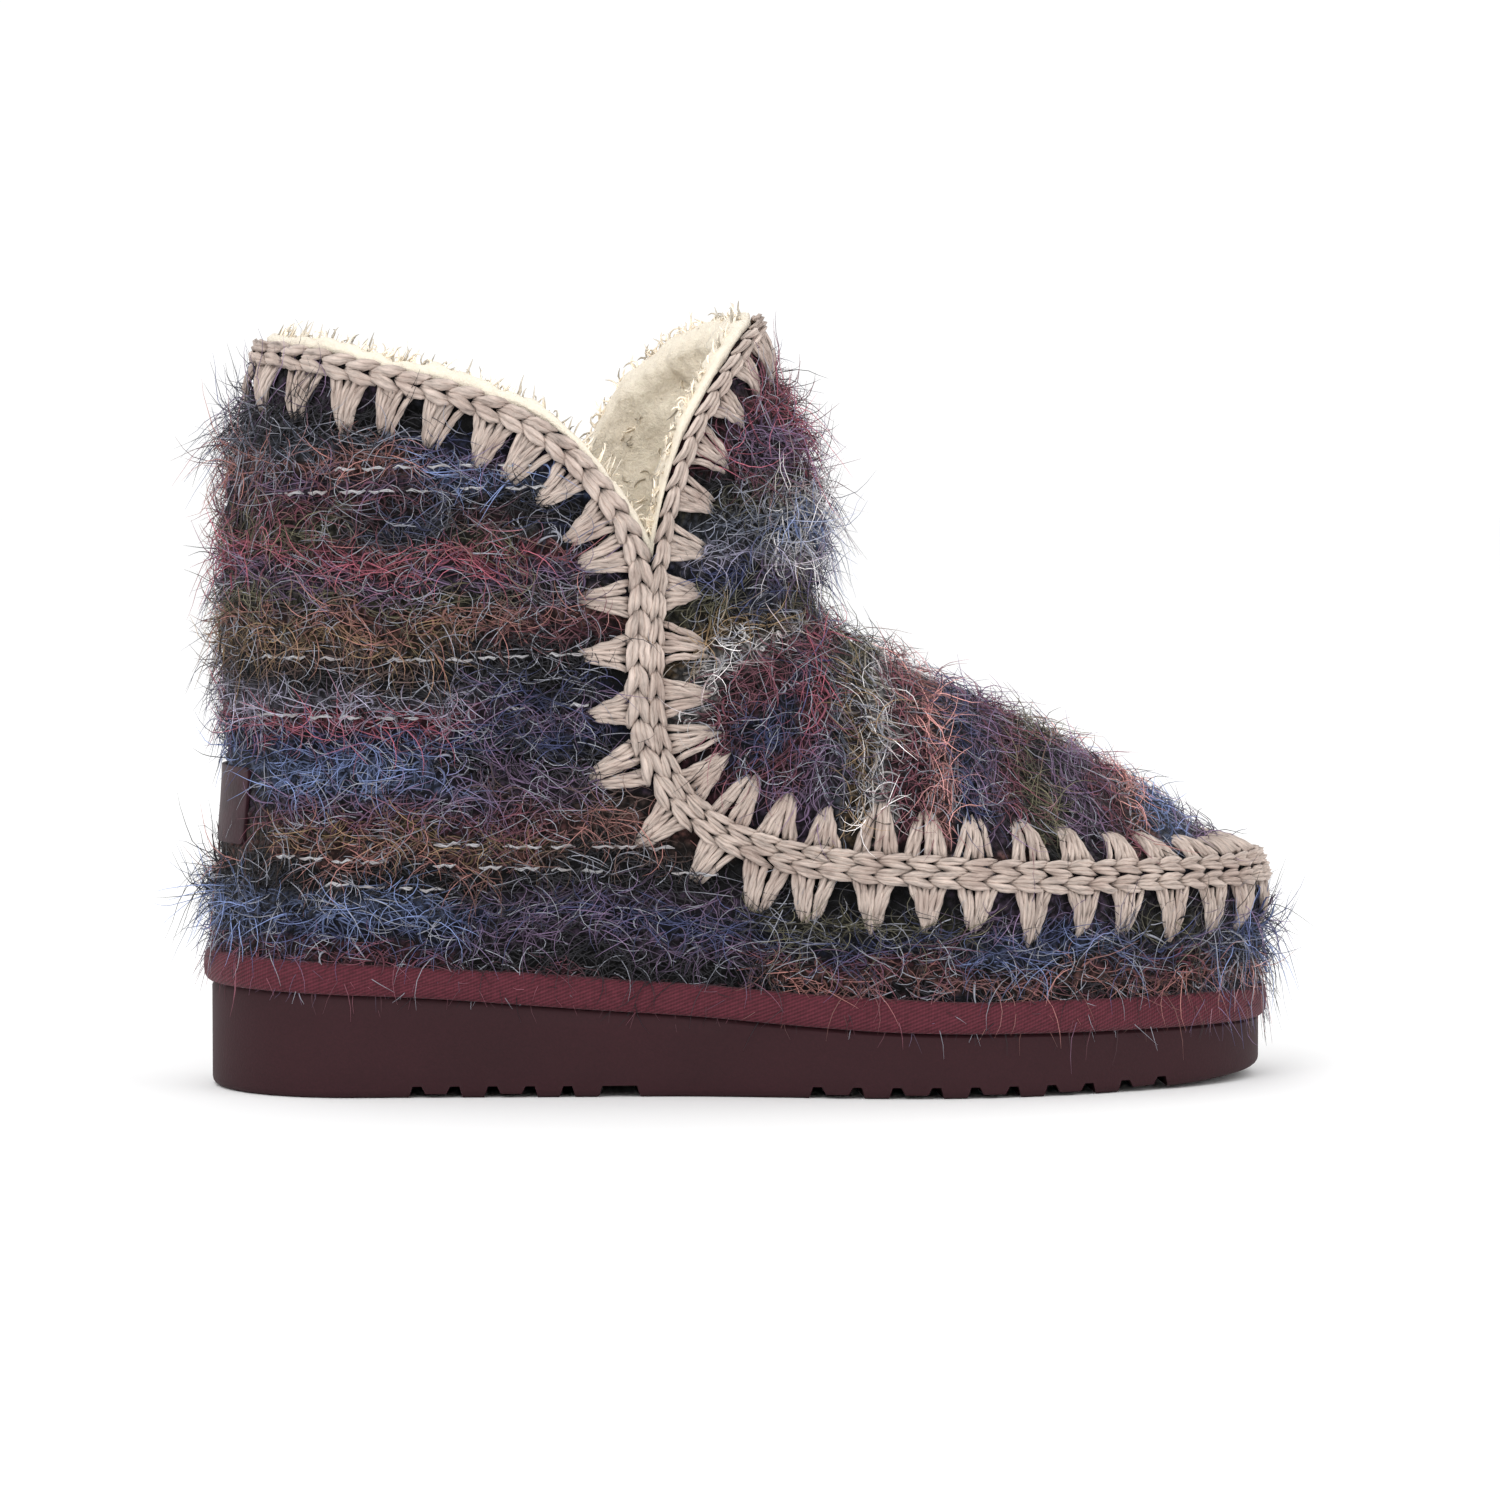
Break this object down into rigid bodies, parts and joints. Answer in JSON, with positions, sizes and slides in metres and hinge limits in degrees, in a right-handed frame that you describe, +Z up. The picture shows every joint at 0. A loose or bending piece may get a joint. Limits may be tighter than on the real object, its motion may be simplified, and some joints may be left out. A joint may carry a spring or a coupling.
{
  "type": "mukluk boot",
  "caption": "Ankle-high mukluk boot with a shaggy knitted upper, crocheted chain edging, notched fleece-lined collar, twill tape and a thick foam sole with cross lugs.",
  "frame": {"origin": "middle of the boot's bounding box, on the floor", "axes": "+X from heel to toe, +Y to the inner side of the right foot, +Z up"},
  "size_m": [0.2694, 0.1068, 0.1906],
  "materials": {
    "sole_foam": "matt plum foam",
    "twill_tape": "burgundy cotton twill",
    "knit": "shaggy multicoloured eyelash knit",
    "crochet_yarn": "matt pinkish beige wool",
    "fleece": "cream curly fleece",
    "patch_leather": "dark smooth leather"
  },
  "bodies": {
    "root": {"outsole": "sole_foam", "rand_tape": "twill_tape", "upper": "knit", "quarter_chain": "crochet_yarn", "apron_chain": "crochet_yarn", "insole": "fleece", "heel_patch": "patch_leather"}
  },
  "joints": []
}
